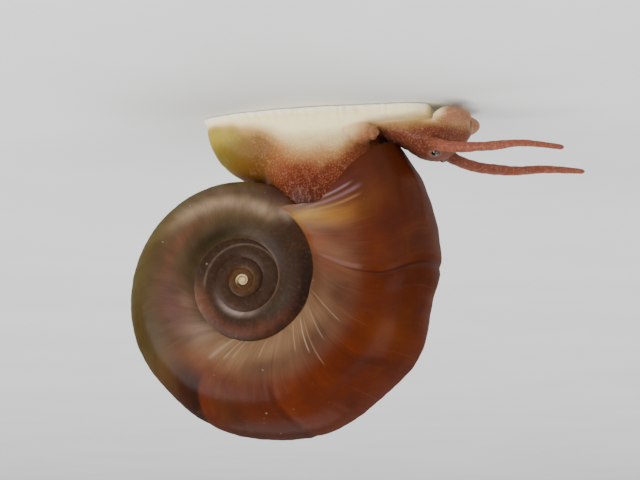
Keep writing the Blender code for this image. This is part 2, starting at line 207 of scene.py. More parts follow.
# Relief of the skin: lumps (size and height), grains, and folds (pitch and depth)
TABLE_SIDE = 32
LUMPS = ((0.0012, 0.00005), (0.00045, 0.000018))
GRAIN_SIZE = 0.000105
GRAIN_SPREAD = (0.15, 0.85)
GRAIN_REACH = (0.36, 0.56)
GRAIN_SOFTNESS = 0.38
GRAIN_HEIGHT = 0.000012
GRAIN_MARGIN_SHARE = 0.4
GRAIN_MARGIN_X = (-0.0116, -0.0108)
GRAIN_FADE = (0.0, 0.0010)
GRAIN_TAIL_X = (-0.0012, 0.0004)
GRAIN_TAIL_LOSS = 0.7
FOLD_BEND = 2.4
FOLD_LUMP = 0.0009
NECK_FOLD = (0.00040, 0.000030)
NECK_FOLD_PLACE = -0.0086
NECK_FOLD_REACH = 0.0012
NECK_FOLD_Z = (0.0009, 0.0014)
MARGIN_FOLD = (0.00062, 0.000034)
MARGIN_FOLD_X = (-0.0105, -0.0095)
MARGIN_FOLD_Z = (0.0011, 0.0)
GILL_FOLD = (0.00050, 0.000014)
GILL_CALM = 0.7
MOUTH_DEPTH = 0.00030
SOLE_KEPT_Z = (0.00008, 0.00016)

# Thin edge of the foot that spreads over the floor
FLARE_X = (-0.0112, -0.0107)
FLARE_Z = (0.0005, 0.0)
FLARE_REACH = 0.00020
FLARE_WAVE = 0.45
FLARE_WAVE_SIZE = 0.0008

# Pale margin of the foot: its least height, then what is added along x
MARGIN_HEIGHT = 0.0008
MARGIN_RISES = (
    # height, ramps along x
    (0.0005, [(0.0012, 0.0)]),
    (0.0018, [(-0.0004, -0.0034), (-0.0080, -0.0056)]),
)
MARGIN_UNEVEN = 0.10
MARGIN_LUMP = 0.0008

# Camera: where the shell's apex lies in the picture, and the way the picture is turned
AIM_POINT = Vector((0.0, -0.0035, 0.0106))
VIEW_AZIMUTH = math.radians(-17.0)
VIEW_ELEVATION = math.radians(9.0)
VIEW_DISTANCE = 0.150
VIEW_WIDTH = 0.0384
PICTURE_SIZE = (640, 480)
APEX_PIXEL = (244.0, 281.0)
SENSOR_WIDTH = 36.0
CAMERA_REACH = (0.005, 10.0)

# Light: the world's strength from below and from above, and lamps in watts
WORLD_COLOUR = (0.96, 0.98, 1.0, 1.0)
WORLD_LOW = 0.46
WORLD_HIGH = 1.15
FLOOR_SIZE = 3.0
LIGHTS = (
    # name, place, size, power, colour
    ("key", (0.120, -0.140, 0.030), 0.16, 0.66, (1.0, 0.97, 0.93)),
    ("fill", (-0.170, -0.120, 0.110), 0.16, 0.20, (0.99, 0.99, 1.0)),
    ("top", (0.020, 0.100, 0.300), 0.26, 0.56, (1.0, 1.0, 1.0)),
)


def smooth_step(value):
    value = np.clip(value, 0.0, 1.0)
    return value * value * (3.0 - 2.0 * value)


def ramp(value, start, whole):
    """0 up to start and 1 from whole on, smooth between them; whole may be the lower of the two."""
    return smooth_step((value - start) / (whole - start))


def ramps(value, ends):
    """The product of a value's ramps, each given by its two ends."""
    return math.prod(ramp(value, *pair) for pair in ends)


def bell(value, centre, width):
    return np.exp(-(((value - centre) / width) ** 2))


def bells(value, marks):
    """The sum of bells, each given by its centre, height and half width."""
    return sum(height * bell(value, centre, width) for centre, height, width in marks)


def linear(hexadecimal):
    """A display colour such as "c08040" as linear red, green and blue."""
    parts = np.array([int(hexadecimal[i : i + 2], 16) / 255.0 for i in (0, 2, 4)])
    return np.where(parts <= 0.04045, parts / 12.92, ((parts + 0.055) / 1.055) ** 2.4)


def over(tone, layer, mask):
    """The tone with a layer, a colour and its strength, laid over it where the mask is 1."""
    colour, strength = layer
    weight = (strength * mask)[..., None]
    return tone * (1.0 - weight) + linear(colour) * weight


def lumps(points, size, seed):
    """Smooth seeded noise between -1 and 1, about one swell to each size."""
    table = np.random.default_rng(seed).uniform(-1.0, 1.0, (TABLE_SIDE,) * 3)
    cell = np.floor(points / size).astype(int)
    part = smooth_step(points / size - cell)
    total = np.zeros(len(points))
    for corner in itertools.product((0, 1), repeat=3):
        weight = np.prod(np.where(corner, part, 1.0 - part), axis=1)
        total += weight * table[tuple(((cell + corner) % TABLE_SIDE).T)]
    return total


def grains(points, size, seed):
    """1 in the middle of small round grains strewn through space and 0 between them."""
    random = np.random.default_rng(seed)
    centres = random.uniform(*GRAIN_SPREAD, (TABLE_SIDE, TABLE_SIDE, TABLE_SIDE, 3))
    reach = random.uniform(*GRAIN_REACH, (TABLE_SIDE,) * 3)
    cell = np.floor(points / size).astype(int)
    best = np.zeros(len(points))
    for step in itertools.product((-1, 0, 1), repeat=3):
        near = cell + step
        index = tuple((near % TABLE_SIDE).T)
        away = np.linalg.norm(points / size - near - centres[index], axis=1)
        best = np.maximum(best, smooth_step((reach[index] - away) / GRAIN_SOFTNESS))
    return best


# Shell


def section(turn):
    """(distance from the axis, place along it) on the whorl's outline, in radii."""
    outward, side = np.cos(turn), np.sin(turn)
    shoulder = np.where(side < 0.0, SPIRE_SHOULDER, UMBILICAL_SHOULDER)
    power = 2.0 / np.where(outward >= 0.0, OUTER_ROUNDNESS, shoulder)
    reach = np.where(outward >= 0.0, SECTION_OUTWARD, SECTION_INWARD)
    x = np.copysign(np.abs(outward) ** power, outward) * reach
    y = np.copysign(np.abs(side) ** power, side) * SECTION_HALF_HEIGHT
    return SECTION_MIDDLE + x, SECTION_DRIFT + y


def section_turn(distance, place):
    """The turn of the outline on which a point lies, and how far out it is."""
    x, y = distance - SECTION_MIDDLE, place - SECTION_DRIFT
    x /= SECTION_OUTWARD if x >= 0.0 else SECTION_INWARD
    y /= SECTION_HALF_HEIGHT
    shoulder = SPIRE_SHOULDER if y < 0.0 else UMBILICAL_SHOULDER
    half_power = (OUTER_ROUNDNESS if x >= 0.0 else shoulder) / 2.0
    out, side = abs(x) ** half_power, abs(y) ** half_power
    return math.atan2(math.copysign(side, y), math.copysign(out, x)), math.hypot(out, side)


def turn_inside(turn):
    """A point of the outline as seen from the whorl inside it: its turn there, and how far out it is."""
    return section_turn(*(float(value) * WHORL_GROWTH for value in section(np.float64(turn))))


def suture_turns(side):
    """Where the outline meets the whorl inside it, as turns on the outer and on the inner whorl."""
    outer, inner = side * math.pi / 2, side * math.pi
    for _ in range(SUTURE_HALVINGS):
        middle = (outer + inner) / 2
        if turn_inside(middle)[1] > 1.0:
            outer = middle
        else:
            inner = middle
    return outer, turn_inside(outer)[0]


SPIRE_SUTURE, SPIRE_SEAT = suture_turns(-1)
UMBILICAL_SUTURE, UMBILICAL_SEAT = suture_turns(1)


def suture_distance(turn):
    """How far from the axis the suture lies, in radii, on the side of the turn."""
    return np.where(np.sin(turn) < 0.0, section(SPIRE_SUTURE)[0], section(UMBILICAL_SUTURE)[0])


def across_of(turn):
    """0 at the suture and 1 at the outer edge, on either side."""
    suture = suture_distance(turn)
    return (section(turn)[0] - suture) / (1.0 - suture)


def growth_of(degrees, turn):
    """The growth line through a point, named by its angle at the whorl's middle."""
    across = across_of(turn)
    inner = np.clip(1.0 - across / MARK_REACH, 0.0, 1.0) ** MARK_POWER
    return degrees - MARK_LEAD * inner - MARK_OUTER_LEAD * ramp(across, *MARK_OUTER_ACROSS)


def waves(growth):
    """Irregular fine waves from many sines with seeded phases, weaker on the early whorls."""
    random = np.random.default_rng(SEED)
    rates = np.geomspace(WAVE_SLOWEST, WAVE_FASTEST, WAVE_COUNT)
    phases = random.uniform(0.0, 2 * math.pi, WAVE_COUNT)
    total = sum(np.sin(np.radians(growth) * rate + phase) for rate, phase in zip(rates, phases))
    return total / math.sqrt(WAVE_COUNT) * ramp(growth, *WAVE_GROWTH)


def radius_at(degrees):
    turns = (degrees - LIP_DEGREES) / 360.0
    late, early = np.maximum(turns, -1.0), np.minimum(turns + 1.0, 0.0)
    return LIP_RADIUS * WHORL_GROWTH**late * EARLY_GROWTH**early * (1.0 + bells(degrees, REST_MARKS))


def relief(degrees, turn):
    growth = growth_of(degrees, turn)
    return WAVE_HEIGHT * waves(growth) + bells(growth, GROOVES)


def shell_points(degrees, turn, inset=0.0):
    """Points of the shell's surface, pulled in by inset, for angles and turns as arrays."""
    plain = radius_at(degrees)
    radius = plain * (1.0 + relief(degrees, turn))
    distance, place = section(turn)
    squeeze = 1.0 - inset / (plain * SECTION_OUTWARD)
    distance = SECTION_MIDDLE + (distance - SECTION_MIDDLE) * squeeze
    place = SECTION_DRIFT + (place - SECTION_DRIFT) * squeeze
    rise = NUCLEUS_RISE * (1.0 - np.exp(-((plain / NUCLEUS_REACH) ** 2)))
    angle = np.radians(degrees)
    return np.stack(
        (
            radius * distance * np.cos(angle),
            APEX_Y + rise + radius * place,
            AXIS_HEIGHT + radius * distance * np.sin(angle),
        ),
        axis=-1,
    )


def lip_lead(turn, full_lead):
    distance = section(turn)[0]
    reach = np.clip(1.0 - (distance - suture_distance(turn)) / LIP_LEAD_REACH, 0.0, None)
    return full_lead * reach**LIP_LEAD_POWER + LIP_OUTER_LEAD * ramp(distance, *LIP_OUTER_FADE)


def evenly(first, last, count):
    """Turns from first to before last, a like length of the outline apart."""
    turns = np.linspace(first, last, TURN_SAMPLES)
    distance, place = section(turns)
    length = np.concatenate(([0.0], np.cumsum(np.hypot(np.diff(distance), np.diff(place)))))
    return np.interp(np.arange(count) * length[-1] / count, length, turns)


def shell_turns():
    parts = (
        evenly(SPIRE_SUTURE, SPIRE_SEAT, SIDE_POINTS),
        evenly(SPIRE_SEAT, UMBILICAL_SEAT, EDGE_POINTS),
        evenly(UMBILICAL_SEAT, UMBILICAL_SUTURE, SIDE_POINTS),
        [UMBILICAL_SUTURE],
    )
    return np.concatenate(parts)


class ShellGrid:
    """Points by row, along growth, and column, from suture to suture, with those that rows share."""

    def __init__(self):
        self.turns = shell_turns()
        self.last = len(self.turns) - 1
        self.seat = SIDE_POINTS
        self.far_seat = SIDE_POINTS + EDGE_POINTS
        self.rows = round(WHORLS * STEPS_PER_WHORL)
        self.back = STEPS_PER_WHORL - LEAD_STEPS
        step = 360.0 / STEPS_PER_WHORL
        leads = lip_lead(self.turns, LEAD_STEPS * step)
        row = np.arange(self.rows + 1)[:, None]
        self.degrees = LIP_DEGREES - (self.rows - row) * step + leads[None, :]
        self.grid_turns = np.broadcast_to(self.turns, self.degrees.shape)
        self.points = shell_points(self.degrees, self.grid_turns)
        self.index = np.arange(self.degrees.size).reshape(self.degrees.shape)
        for column, seat in ((0, self.seat), (self.last, self.far_seat)):
            self.points[: self.back, column] = (0.0, self.points[0, column, 1], AXIS_HEIGHT)
            self.index[: self.back, column] = self.index[0, column]
            self.index[self.back :, column] = self.index[: self.rows + 1 - self.back, seat]


def sheet(grid):
    """The faces between neighbours in a grid of point numbers."""
    corners = (grid[:-1, :-1], grid[:-1, 1:], grid[1:, 1:], grid[1:, :-1])
    return np.stack(corners, axis=-1).reshape(-1, 4)


def inside_of(grid):
    """The inner wall behind the lip: its points, and their index by row and column."""
    start = grid.rows - INSIDE_ROWS
    degrees = grid.degrees[start:, 1:-1]
    behind = (grid.rows - np.arange(start, grid.rows + 1))[:, None]
    wall = LIP_WALL + (INNER_WALL - LIP_WALL) * smooth_step(behind / WALL_ROWS)
    points = shell_points(degrees, grid.grid_turns[start:, 1:-1], wall)
    rows, columns = points.shape[:2]
    index = np.empty((rows, columns + 2), dtype=int)
    index[:, 1:-1] = grid.index.size + np.arange(rows * columns).reshape(rows, columns)
    index[:, 0] = grid.index.size + rows * columns + np.arange(rows)
    index[:, -1] = index[:, 0] + rows
    seats = grid.points.reshape(-1, 3)[grid.index[start:, [0, -1]].T.ravel()]
    seat_degrees = grid.degrees[start:, [0, -1]].T.ravel()
    index[-1, 0], index[-1, -1] = grid.index[-1, 0], grid.index[-1, -1]
    return np.concatenate((points.reshape(-1, 3), seats)), index, degrees, seat_degrees


def shell_mesh():
    """(points, faces, growth angle, across, inside) of the shell with its thin lip and open mouth."""
    grid = ShellGrid()
    inner_points, inner, inner_degrees, seat_degrees = inside_of(grid)
    index, seat, far_seat = grid.index, grid.seat, grid.far_seat
    row = np.repeat(np.arange(grid.rows), grid.last)
    column = np.tile(np.arange(grid.last), grid.rows)
    mouth_row = grid.rows - grid.back
    hidden = (row < mouth_row) & (column >= seat) & (column < far_seat)
    rim = np.stack((inner[-1], index[-1]), axis=1)
    wall = index[mouth_row - INSIDE_ROWS : mouth_row + 1, seat : far_seat + 1].copy()
    wall[:, 0], wall[:, -1] = inner[:, 0], inner[:, -1]
    near = np.round(np.arange(grid.last + 1) * EDGE_POINTS / grid.last).astype(int)
    end = np.stack((inner[0], wall[0, near]))
    fans = []
    for middle, span in ((0, range(1, seat)), (grid.last, range(far_seat, grid.last - 1))):
        fans += [[index[0, middle], index[0, i + 1], index[0, i], index[0, i]] for i in span]
    points = np.concatenate((grid.points.reshape(-1, 3), inner_points))
    sheets = [sheet(part) for part in (inner.T, rim, wall, end)]
    faces = np.concatenate((sheet(index)[~hidden], *sheets, np.array(fans)))
    inner_turns = grid.grid_turns[-INSIDE_ROWS - 1 :, 1:-1]
    across = [across_of(v).ravel() for v in (grid.grid_turns, inner_turns)]
    growth = [
        growth_of(grid.degrees, grid.grid_turns).ravel(),
        growth_of(inner_degrees, inner_turns).ravel(),
        seat_degrees,
    ]
    inside = [np.zeros(grid.index.size), np.ones(inner_turns.size + seat_degrees.size)]
    across.append(np.zeros(seat_degrees.size))
    return points, faces, *(np.concatenate(values) for values in (growth, across, inside))


SHELL_TONE = "94755a"
SHELL_TONES = (
    # colour, strength, ramps across, ramps along growth
    ("6a2c12", 1.00, [(0.14, 0.56)], []),
    ("5c4a34", 1.00, [], [(60.0, 30.0)]),
    ("3e2b1e", 1.00, [], [(-104.0, -144.0)]),
)
SHELL_SHADOWS = (
    # colour, strength, ramps across, ramps along growth
    ("1e110a", 0.85, [(0.42, 0.68)], [(44.0, 64.0), (67.6, 66.2)]),
    ("1e110a", 0.45, [(0.80, 1.00)], [(130.0, 90.0), (30.0, 60.0)]),
)
SHELL_STEPS = (
    # growth angle up to which it darkens, how far back it fades, strength
    (106.0, 26.0, 0.40),
    (146.0, 12.0, 0.26),
    (180.0, 9.0, 0.26),
)
STEP_COLOUR = "1e110a"
STEP_ACROSS = (0.34, 0.64)
STEP_SOFTNESS = 0.7
SHELL_ZONES = (
    # growth angle, across, half widths of both, colour, strength
    (217.0, 0.45, 7.0, 0.50, "643628", 0.80),
    (200.0, 0.88, 30.0, 0.14, "5a2c1a", 0.50),
    (207.0, 0.22, 4.6, 0.30, "b8823a", 0.85),
    (209.0, 0.62, 5.0, 0.16, "804a24", 0.50),
    (206.0, 0.00, 12.0, 0.03, "c07c38", 0.60),
    (211.0, 0.10, 3.4, 0.14, "c09a44", 0.60),
    (196.0, 0.24, 6.0, 0.20, "6c3626", 0.85),
    (180.0, 0.10, 9.0, 0.20, "683018", 0.85),
    (156.0, 0.08, 12.0, 0.12, "5a3220", 0.70),
    (198.0, 0.80, 9.0, 0.34, "5c2816", 0.70),
    (186.0, 0.75, 6.0, 0.30, "62301a", 0.50),
    (176.0, 0.22, 4.5, 0.16, "8e5030", 0.60),
    (193.0, 0.06, 8.0, 0.14, "7e3e1a", 0.80),
    (168.0, 0.05, 9.0, 0.12, "66361f", 0.70),
    (157.0, 0.82, 8.0, 0.15, "80441c", 0.50),
    (166.0, 0.30, 14.0, 0.18, "56301f", 0.80),
    (138.0, 0.32, 14.0, 0.13, "523626", 0.80),
    (106.0, 0.32, 16.0, 0.11, "5e402e", 0.70),
    (138.0, 0.80, 12.0, 0.30, "702c10", 0.65),
    (104.0, 0.80, 12.0, 0.30, "662a11", 0.60),
    (82.0, 0.80, 10.0, 0.30, "4c2a16", 0.70),
    (56.0, 0.42, 9.0, 0.12, "8c6a54", 0.45),
    (52.0, 0.70, 8.0, 0.14, "46261a", 0.50),
    (48.0, 0.85, 8.0, 0.35, "5e4428", 0.75),
    # this zone and the next: pale near the suture, a painted highlight where the inner slope meets the
    # light
    (38.0, 0.16, 14.0, 0.16, "a68c7e", 0.75),
    (9.0, 0.12, 12.0, 0.10, "967a70", 0.60),
    (16.0, 0.85, 24.0, 0.28, "52471f", 0.85),
    (14.0, 0.33, 26.0, 0.18, "6e4a4c", 0.70),
    (-38.0, 0.88, 34.0, 0.20, "5c5624", 0.80),
    (-34.0, 0.43, 28.0, 0.08, "7e4e3c", 0.60),
    (-84.0, 0.42, 24.0, 0.08, "6e5e3e", 0.60),
    # olive near the suture, darkened by painted shade on the inner wall of the hollow that is turned
    # from the light
    (-70.0, 0.14, 46.0, 0.12, "2e2a17", 0.92),
    (-76.0, 0.82, 30.0, 0.08, "846c60", 0.50),
    (-92.0, 0.96, 16.0, 0.10, "7c7448", 0.60),
    (-124.0, 0.92, 10.0, 0.14, "7a4e3e", 0.60),
    (-112.0, 0.85, 14.0, 0.24, "6a4c46", 0.70),
    (-150.0, 0.08, 22.0, 0.16, "2a1c12", 0.75),
    (-124.0, 0.68, 6.0, 0.09, "bca898", 0.75),
    # painted shadow on the old disc under the overhanging last whorl
    (-190.0, 0.58, 42.0, 0.14, "1e120d", 0.90),
    (-216.0, 0.28, 28.0, 0.12, "46443a", 0.50),
    (-270.0, 0.50, 50.0, 0.12, "744034", 0.65),
    (-335.0, 0.50, 24.0, 0.16, "8e5c48", 0.65),
    (-340.0, 0.76, 26.0, 0.14, "ac8c80", 0.70),
    (-500.0, 0.80, 40.0, 0.22, "241710", 0.55),
    # painted highlight: a pale crescent on the wall of the hollow disc
    (-298.0, 0.10, 38.0, 0.08, "b6a6a2", 0.85),
    (-430.0, 0.45, 80.0, 0.30, "38291c", 0.60),
)
SHELL_BANDS_AND_HIGHLIGHTS = (
    # colour, strength, half width, growth angle, place across there, slope, bend, ramps along growth
    # painted highlight along the ridge of the last whorl
    ("b8a08a", 0.80, 0.120, -112.0, 0.550, 0.0016, 0.0, [(-130.0, -104.0), (-22.0, -62.0)]),
    ("806a5e", 0.65, 0.028, 0.0, 0.045, 0.0, 0.0, [(-110.0, -150.0)]),
    # pale spiral line on the old disc: a painted soft highlight along a ridge
    ("86746c", 0.50, 0.030, -375.0, 0.380, 0.0, 1.47e-5, [(-350.0, -360.0), (-570.0, -510.0)]),
)
SHELL_INSIDE = ("a58068", 0.80)

# Nucleus: cream with a dark slit, widened into painted shade on either side of the suture, in a ring of
# lighter horn; radii, then ramps along growth
NUCLEUS_GLOW = ("7a5228", 0.40)
NUCLEUS_GLOW_RING = (0.00062, 0.00026)
NUCLEUS_GLOW_END = -540.0
NUCLEUS_CREAM = ("f6deac", 1.00)
NUCLEUS_CREAM_RADIUS = (0.00054, 0.00046)
NUCLEUS_CREAM_GROWTH = (-1395.0, -1485.0)
NUCLEUS_SLIT_AND_SHADE = ("6a2c12", 0.85)
NUCLEUS_SLIT_WIDTH = 0.40
NUCLEUS_SLIT_GROWTH = (-1740.0, -1680.0)


def layered(tone, growth, across, layers):
    for colour, strength, ends_across, ends_along in layers:
        mask = ramps(across, ends_across) * ramps(growth, ends_along)
        tone = over(tone, (colour, strength), mask)
    return tone


def banded_and_highlit(tone, growth, across):
    """The tone with the ridge's painted highlight, the line in the suture and a spiral line painted as a
    soft highlight laid over it.
    """
    for colour, strength, width, angle, place, slope, bend, ends in SHELL_BANDS_AND_HIGHLIGHTS:
        ahead = growth - angle
        line = bell(across, place + slope * ahead + bend * ahead**2, width)
        tone = over(tone, (colour, strength), line * ramps(growth, ends))
    return tone


def shell_colours(growth, across, inside, radius):
    """The broad tones of the shell: paler at the suture, redder outside, dark in the old disc, with
    painted shadows and highlights laid over them.
    """
    tone = np.broadcast_to(linear(SHELL_TONE), growth.shape + (3,))
    tone = layered(tone, growth, across, SHELL_TONES)
    for angle, place, angle_width, place_width, colour, strength in SHELL_ZONES:
        zone = bell(growth, angle, angle_width) * bell(across, place, place_width)
        tone = over(tone, (colour, strength), zone)
    for angle, fade, strength in SHELL_STEPS:
        before = np.exp(-np.clip(angle - growth, 0.0, None) / fade)
        before *= ramp(growth, angle + STEP_SOFTNESS, angle - STEP_SOFTNESS)
        tone = over(tone, (STEP_COLOUR, strength), before * ramp(across, *STEP_ACROSS))
    tone = layered(tone, growth, across, SHELL_SHADOWS)
    tone = banded_and_highlit(tone, growth, across)
    glow = bell(radius, *NUCLEUS_GLOW_RING) * (growth < NUCLEUS_GLOW_END)
    tone = over(tone, NUCLEUS_GLOW, glow)
    cream = ramp(radius, *NUCLEUS_CREAM_RADIUS) * ramp(growth, *NUCLEUS_CREAM_GROWTH)
    tone = over(tone, NUCLEUS_CREAM, cream)
    # the dark slit in the suture, broad enough to paint shade over the rounded whorls beside it
    slit_and_shade = bell(across, 0.0, NUCLEUS_SLIT_WIDTH) * ramp(growth, *NUCLEUS_SLIT_GROWTH)
    tone = over(tone, NUCLEUS_SLIT_AND_SHADE, cream * slit_and_shade)
    return over(tone, SHELL_INSIDE, inside)


def new_object(name, data):
    made = bpy.data.objects.new(name, data)
    bpy.context.scene.collection.objects.link(made)
    return made


def new_mesh(name, points, faces):
    mesh = bpy.data.meshes.new(name)
    mesh.from_pydata(points.tolist(), [], faces)
    mesh.update()
    return mesh


def smooth_object(name, mesh, material):
    mesh.name = name
    mesh.polygons.foreach_set("use_smooth", [True] * len(mesh.polygons))
    mesh.materials.clear()
    mesh.materials.append(material)
    return new_object(name, mesh)


def give_values(mesh, name, values):
    mesh.attributes.new(name, "FLOAT", "POINT").data.foreach_set("value", values.astype(np.float32))


def give_colours(mesh, name, colours):
    rgba = np.concatenate((colours, np.ones((len(colours), 1))), axis=1).astype(np.float32)
    mesh.attributes.new(name, "FLOAT_COLOR", "POINT").data.foreach_set("color", rgba.ravel())


def make_shell():
    points, faces, growth, across, inside = shell_mesh()
    used, faces = np.unique(faces, return_inverse=True)
    faces = [list(dict.fromkeys(face)) for face in faces.reshape(-1, 4).tolist()]
    faces = [face for face in faces if len(face) > 2]
    points, growth, across, inside = (v[used] for v in (points, growth, across, inside))
    radius = np.hypot(points[:, 0], points[:, 2] - AXIS_HEIGHT)
    mesh = new_mesh("shell_fine", points, faces)
    give_values(mesh, "growth", growth)
    give_values(mesh, "across", across)
    give_colours(mesh, "tone", shell_colours(growth, across, inside, radius))
    shell = smooth_object("shell_fine", mesh, shell_material())
    mesh.set_sharp_from_angle(angle=math.radians(SHARP_DEGREES))
    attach(shell, "root")
    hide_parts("shell")


# Body


def along(stations, part):
    """The stations' values at a part of the way from first to last, on a smooth curve through them."""
    place = part * (len(stations) - 1)
    index = min(int(place), len(stations) - 2)
    t = place - index
    before = stations[max(index - 1, 0)]
    start, end = stations[index], stations[index + 1]
    after = stations[min(index + 2, len(stations) - 1)]
    return [
        0.5 * (2 * b + (c - a) * t + (2 * a - 5 * b + 4 * c - d) * t**2 + (3 * b - a - 3 * c + d) * t**3)
        for a, b, c, d in zip(before, start, end, after)
    ]


def add_loft(bm, rings):
    rows = [[bm.verts.new(point) for point in ring] for ring in rings]
    count = len(rows[0])
    faces = []
    for lower, upper in zip(rows, rows[1:]):
        for i in range(count):
            j = (i + 1) % count
            faces.append(bm.faces.new((lower[i], lower[j], upper[j], upper[i])))
    for row in (rows[0], rows[-1]):
        middle = bm.verts.new(sum((v.co for v in row), Vector()) / count)
        for i in range(count):
            faces.append(bm.faces.new((row[i], row[(i + 1) % count], middle)))
    bmesh.ops.recalc_face_normals(bm, faces=faces)


def add_ellipsoid(bm, centre, radii):
    made = bmesh.ops.create_uvsphere(bm, u_segments=LOBE_COLUMNS, v_segments=LOBE_ROWS, radius=1.0)
    for vertex in made["verts"]:
        vertex.co = centre + Vector(a * b for a, b in zip(vertex.co, radii))


def mirrored(vector):
    return Vector((vector[0], -vector[1], vector[2]))


def oval(centre, first, second, count):
    """Points evenly round an ellipse, from its middle and its two half axes."""
    turns = [2 * math.pi * i / count for i in range(count)]
    return [centre + first * math.cos(turn) + second * math.sin(turn) for turn in turns]


def foot_rings():
    rings = []
    for k in range(FOOT_RINGS):
        x, half_width, height = along(FOOT_STATIONS, k / (FOOT_RINGS - 1))
        edge = min(SOLE_EDGE, height * SOLE_EDGE_SHARE)
        ring = []
        for i in range(FOOT_FLAT_POINTS):
            place = 1.0 - 2.0 * i / (FOOT_FLAT_POINTS - 1)
            ring.append(Vector((x, half_width * SOLE_FLAT * place, 0.0)))
        for i in range(FOOT_DOME_POINTS):
            turn = math.pi * i / (FOOT_DOME_POINTS - 1)
            rise = (height - edge) * abs(math.sin(turn)) ** FOOT_DOME_POWER
            ring.append(Vector((x, -half_width * math.cos(turn), edge + rise)))
        rings.append(ring)
    return rings


def whorl_ring(degrees):
    turns = np.arange(RING_POINTS) * 2 * math.pi / RING_POINTS
    points = shell_points(np.full(RING_POINTS, degrees), turns, STALK_INSET)
    return [Vector(point) for point in points]


def mantle_rings():
    """The flesh inside the last whorl, then out of its mouth and down onto the foot."""
    depths = [MANTLE_DEPTH * (1.0 - k / MANTLE_RINGS) for k in range(MANTLE_RINGS)]
    rings = [whorl_ring(STALK_TOP_DEGREES - depth) for depth in depths]
    top = whorl_ring(STALK_TOP_DEGREES)
    half_axes = (Vector((-STALK_HALF_LENGTH, 0.0, 0.0)), Vector((0.0, STALK_HALF_WIDTH, 0.0)))
    bottom = oval(STALK_CENTRE, *half_axes, RING_POINTS)
    lip = math.radians(LIP_DEGREES)
    onward = Vector((-math.sin(lip), 0.0, math.cos(lip))) * STALK_RUN
    for k in range(STALK_RINGS):
        t = k / (STALK_RINGS - 1)
        ring = []
        for start, end in zip(top, bottom):
            ring.append((1 - t) ** 2 * start + 2 * t * (1 - t) * (start + onward) + t**2 * end)
        rings.append(ring)
    return rings


def head_rings():
    rings = []
    for k in range(HEAD_RINGS):
        x, middle, half_width, half_height = along(HEAD_STATIONS, k / (HEAD_RINGS - 1))
        half_axes = (Vector((0.0, half_width, 0.0)), Vector((0.0, 0.0, half_height)))
        rings.append(oval(Vector((x, 0.0, middle)), *half_axes, RING_POINTS))
    return rings


def tentacle_rings():
    """The left tentacle: a tapering thread with shallow rings round it and a rounded tip."""
    rings = []
    for k in range(TENTACLE_RINGS + 1):
        part = k / TENTACLE_RINGS
        centre = Vector(along(TENTACLE_LINE, part))
        ahead = Vector(along(TENTACLE_LINE, min(part + TENTACLE_STEP, 1.0)))
        behind = Vector(along(TENTACLE_LINE, max(part - TENTACLE_STEP, 0.0)))
        direction = (ahead - behind).normalized()
        across = direction.cross(Vector((0.0, 0.0, 1.0))).normalized()
        upward = across.cross(direction)
        radius = TENTACLE_BASE_RADIUS + (TENTACLE_TIP_RADIUS - TENTACLE_BASE_RADIUS) * part
        radius *= 1.0 + TENTACLE_FOLD_DEPTH * math.sin(2 * math.pi * TENTACLE_FOLDS * part)
        left = 1.0 - max(part - TENTACLE_ROUND_START, 0.0) / TENTACLE_ROUND_RUN
        radius *= math.sqrt(max(left, TENTACLE_ROUND_LEAST))
        rings.append(oval(centre, across * radius, upward * radius, TENTACLE_SIDES))
    return rings


def raw_body():
    """The flesh as closed forms that pass through one another, in millimetres."""
    bm = bmesh.new()
    left = tentacle_rings()
    right = [[mirrored(point) for point in ring] for ring in left]
    for rings in (foot_rings(), mantle_rings(), head_rings(), left, right):
        add_loft(bm, rings)
    add_ellipsoid(bm, GILL_LOBE_CENTRE, GILL_LOBE_RADII)
    for centre in (LIP_LOBE_CENTRE, mirrored(LIP_LOBE_CENTRE)):
        add_ellipsoid(bm, centre, LIP_LOBE_RADII)
    bm.transform(Matrix.Scale(MILLIMETRES, 4))
    mesh = bpy.data.meshes.new("skin_raw")
    bm.to_mesh(mesh)
    bm.free()
    return mesh


def points_of(mesh):
    points = np.empty(len(mesh.vertices) * 3)
    mesh.vertices.foreach_get("co", points)
    return points.reshape(-1, 3)


def relax(mesh, rounds, share=1.0):
    """Evens the skin out, each point drawn by its share of half the way to those that it meets."""
    points = points_of(mesh)
    share = RELAX_STEP * np.atleast_1d(share)[:, None]
    edges = np.empty(len(mesh.edges) * 2, dtype=int)
    mesh.edges.foreach_get("vertices", edges)
    met = edges.reshape(-1, 2)[:, ::-1].ravel()
    count = np.maximum(np.bincount(edges, minlength=len(points)), 1)
    for _ in range(rounds):
        means = [np.bincount(edges, values[met], len(points)) / count for values in points.T]
        points = points * (1.0 - share) + np.stack(means, axis=1) * share
    mesh.vertices.foreach_set("co", points.ravel())
    mesh.update()


def on_trunk(points):
    """1 on the tail and stalk above the sole, 0 on head and tentacles."""
    return ramp(points[:, 0], *TRUNK_X) * ramp(points[:, 2], *TRUNK_Z)


def keep_largest(mesh):
    """Only the outermost skin: scraps and inner bubbles of the remesh go."""
    bm = bmesh.new()
    bm.from_mesh(mesh)
    left = set(bm.verts)
    best = set()
    while left:
        start = next(iter(left))
        found, edge = {start}, [start]
        while edge:
            for link in edge.pop().link_edges:
                for other in link.verts:
                    if other not in found:
                        found.add(other)
                        edge.append(other)
        left -= found
        if len(found) > len(best):
            best = found
    scrap = [vertex for vertex in bm.verts if vertex not in best]
    bmesh.ops.delete(bm, geom=scrap, context="VERTS")
    bm.to_mesh(mesh)
    bm.free()


